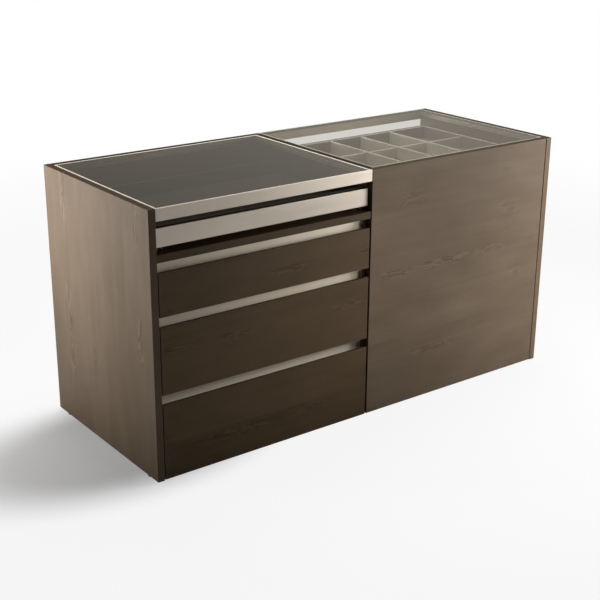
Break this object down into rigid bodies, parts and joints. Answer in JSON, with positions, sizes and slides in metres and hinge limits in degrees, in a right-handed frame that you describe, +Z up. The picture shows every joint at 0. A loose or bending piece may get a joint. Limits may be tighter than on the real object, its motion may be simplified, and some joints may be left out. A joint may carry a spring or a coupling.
{
  "type": "closet island",
  "caption": "Closet island of two back-to-back drawer modules with framed glass tops, pull-out trays under the glass, handleless wood-fronted drawers and metal grip recesses.",
  "frame": {"origin": "on the floor under the middle of the body", "axes": "+X along the length from the left end to the right, +Y from the front to the rear, +Z up"},
  "size_m": [1.74, 0.7, 0.906],
  "materials": {
    "wood": "dark stained oak, matt",
    "champagne": "champagne anodised, satin",
    "glass": "grey tinted, polished",
    "box_lining": "taupe melamine, matt",
    "tray_lining": "taupe leather-look covering",
    "mat": "grey-brown felt",
    "divider": "cream leather-look covering",
    "runner_steel": "zinc-plated steel",
    "foot": "black glide"
  },
  "bodies": {
    "root": {"end_panel_left": "wood", "end_panel_right": "wood", "centre_partition": "wood", "foot_front_left": "foot", "foot_front_middle": "foot", "foot_front_right": "foot", "foot_rear_left": "foot", "foot_rear_middle": "foot", "foot_rear_right": "foot", "bottom_panel_left": "wood", "tray_shelf_left": "wood", "blank_panel_left": "wood", "top_frame_left": "champagne", "glass_top_left": "glass", "grip_profile_left_lower": "champagne", "drawer_lower_runner_left_end": "runner_steel", "drawer_lower_runner_left_partition": "runner_steel", "grip_profile_left_middle": "champagne", "drawer_middle_runner_left_end": "runner_steel", "drawer_middle_runner_left_partition": "runner_steel", "grip_profile_left_upper": "champagne", "drawer_upper_runner_left_end": "runner_steel", "drawer_upper_runner_left_partition": "runner_steel", "tray_runner_left_end": "runner_steel", "tray_runner_left_partition": "runner_steel", "bottom_panel_right": "wood", "tray_shelf_right": "wood", "blank_panel_right": "wood", "top_frame_right": "champagne", "glass_top_right": "glass", "grip_profile_right_lower": "champagne", "drawer_lower_runner_right_end": "runner_steel", "drawer_lower_runner_right_partition": "runner_steel", "grip_profile_right_middle": "champagne", "drawer_middle_runner_right_end": "runner_steel", "drawer_middle_runner_right_partition": "runner_steel", "grip_profile_right_upper": "champagne", "drawer_upper_runner_right_end": "runner_steel", "drawer_upper_runner_right_partition": "runner_steel", "tray_runner_right_end": "runner_steel", "tray_runner_right_partition": "runner_steel"},
    "drawer_lower_left": {"drawer_lower_front_left": "wood", "drawer_lower_box_left": "box_lining"},
    "drawer_middle_left": {"drawer_middle_front_left": "wood", "drawer_middle_box_left": "box_lining"},
    "drawer_upper_left": {"drawer_upper_front_left": "wood", "drawer_upper_box_left": "box_lining"},
    "tray_left": {"tray_front_left": "champagne", "tray_box_left": "tray_lining", "tray_mat_left": "mat"},
    "drawer_lower_right": {"drawer_lower_front_right": "wood", "drawer_lower_box_right": "box_lining"},
    "drawer_middle_right": {"drawer_middle_front_right": "wood", "drawer_middle_box_right": "box_lining"},
    "drawer_upper_right": {"drawer_upper_front_right": "wood", "drawer_upper_box_right": "box_lining"},
    "tray_right": {"tray_front_right": "champagne", "tray_box_right": "tray_lining", "tray_mat_right": "mat", "tray_dividers_right": "divider"}
  },
  "joints": [
    {"name": "drawer_lower_left_slide", "type": "slide", "parent": "root", "child": "drawer_lower_left", "axis": [0, -1, 0], "range_m": [0, 0.375]},
    {"name": "drawer_middle_left_slide", "type": "slide", "parent": "root", "child": "drawer_middle_left", "axis": [0, -1, 0], "range_m": [0, 0.375]},
    {"name": "drawer_upper_left_slide", "type": "slide", "parent": "root", "child": "drawer_upper_left", "axis": [0, -1, 0], "range_m": [0, 0.375]},
    {"name": "tray_left_slide", "type": "slide", "parent": "root", "child": "tray_left", "axis": [0, -1, 0], "range_m": [0, 0.375]},
    {"name": "drawer_lower_right_slide", "type": "slide", "parent": "root", "child": "drawer_lower_right", "axis": [0, 1, 0], "range_m": [0, 0.375]},
    {"name": "drawer_middle_right_slide", "type": "slide", "parent": "root", "child": "drawer_middle_right", "axis": [0, 1, 0], "range_m": [0, 0.375]},
    {"name": "drawer_upper_right_slide", "type": "slide", "parent": "root", "child": "drawer_upper_right", "axis": [0, 1, 0], "range_m": [0, 0.375]},
    {"name": "tray_right_slide", "type": "slide", "parent": "root", "child": "tray_right", "axis": [0, 1, 0], "range_m": [0, 0.375]}
  ]
}
